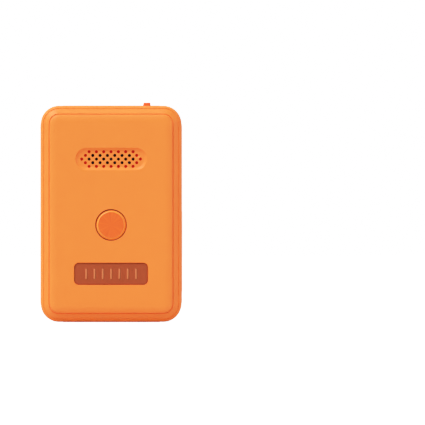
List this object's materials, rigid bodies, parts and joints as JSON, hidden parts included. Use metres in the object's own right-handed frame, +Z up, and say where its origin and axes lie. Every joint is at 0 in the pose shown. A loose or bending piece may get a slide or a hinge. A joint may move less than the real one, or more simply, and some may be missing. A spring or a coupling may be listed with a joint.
{
  "type": "avalanche transceiver",
  "caption": "Hand-held avalanche beacon: stepped orange housing with speaker grille, round button, side display, sliding top switch and hinged battery door.",
  "frame": {"origin": "centre of the footprint, on the plane of the base ribs that it stands on", "axes": "+Z up to the slide switch, -Y out of the front face, -X out of the display, +X out of the battery door"},
  "size_m": [0.075, 0.088, 0.1164],
  "materials": {
    "shell": "soft matte moulded plastic with fine texture",
    "button_cap": "spun radial finish, chamfered edge",
    "slider": "satin red-orange",
    "nameplate": "brick-brown matte plate with low relief",
    "bezel": "translucent salmon, moulded",
    "lens": "clear flat window",
    "lcd": "grey-green display",
    "lcd_dark": "dark display segment",
    "rubber": "black seal rubber",
    "black_mesh": "fine acoustic mesh",
    "black_plastic": "black moulded plastic",
    "white_plastic": "natural nylon",
    "board": "green circuit board",
    "chips": "black chip packages",
    "steel": "plain steel",
    "plated": "bright nickel plate",
    "ferrite": "grey-black ferrite",
    "copper": "enamelled copper wire",
    "paper_cone": "dark paper cone",
    "cell_sleeve": "plain printed sleeve on a steel can",
    "flex": "amber polyimide ribbon"
  },
  "bodies": {
    "housing": {"body_frame": "shell", "front_cover": "shell", "rear_cover": "shell", "front_gasket": "rubber", "rear_gasket": "rubber", "left_side_panel": "shell", "right_side_panel": "shell", "top_grip_pad": "shell", "bottom_grip_pad": "shell", "nameplate": "nameplate", "tact_switch": "black_plastic", "speaker_mesh": "black_mesh", "speaker_gasket": "rubber", "speaker_frame": "steel", "speaker_cone": "paper_cone", "speaker_magnet": "plated", "slide_switch_body": "steel", "switch_board": "board", "display_bezel": "bezel", "display_lens": "lens", "display_gasket": "rubber", "lcd_panel": "lcd", "lcd_segment_block": "lcd_dark", "lcd_holder": "white_plastic", "display_board": "board", "flex_cable": "flex", "main_board": "board", "board_components": "chips", "shield_can": "plated", "board_screws": "steel", "antenna_long_core": "ferrite", "antenna_long_winding": "copper", "antenna_cross_core": "ferrite", "antenna_cross_winding": "copper", "antenna_short_core": "ferrite", "antenna_short_winding": "copper", "antenna_carrier": "white_plastic", "battery_tray": "black_plastic", "battery_cell_1": "cell_sleeve", "battery_cell_2": "cell_sleeve", "battery_cell_3": "cell_sleeve", "contact_springs": "plated", "contact_plates": "plated", "door_hinge_pin": "steel", "rear_screws": "steel"},
    "button": {"main_button": "button_cap", "button_seal": "rubber"},
    "plunger": {"tact_plunger": "steel"},
    "switch": {"slide_switch_cap": "slider", "slide_switch_slider": "black_plastic"},
    "door": {"battery_door": "shell", "door_seal": "rubber"},
    "door_lock": {"door_lock_screw": "steel"}
  },
  "joints": [
    {"name": "button_press", "type": "slide", "parent": "housing", "child": "button", "axis": [0, 1, 0], "range_m": [0, 0.0008], "stiffness_N_per_m": 1500, "springref_m": -0.0004},
    {"name": "plunger_press", "type": "slide", "parent": "housing", "child": "plunger", "axis": [0, 1, 0], "range_m": [0, 0.0008]},
    {"name": "switch_slide", "type": "slide", "parent": "housing", "child": "switch", "axis": [0, 1, 0], "range_m": [-0.0025, 0.0025]},
    {"name": "door_hinge", "type": "hinge", "parent": "housing", "child": "door", "pos_m": [0.036, 0.0315, 0.03735], "axis": [0, 0, 1], "range_deg": [0, 95]},
    {"name": "lock_turn", "type": "hinge", "parent": "door", "child": "door_lock", "pos_m": [0.0375, -0.03, 0.03735], "axis": [1, 0, 0], "range_deg": [0, 90]}
  ],
  "couplings": [
    {"joint": "plunger_press", "follows": "button_press", "ratio": 1}
  ]
}
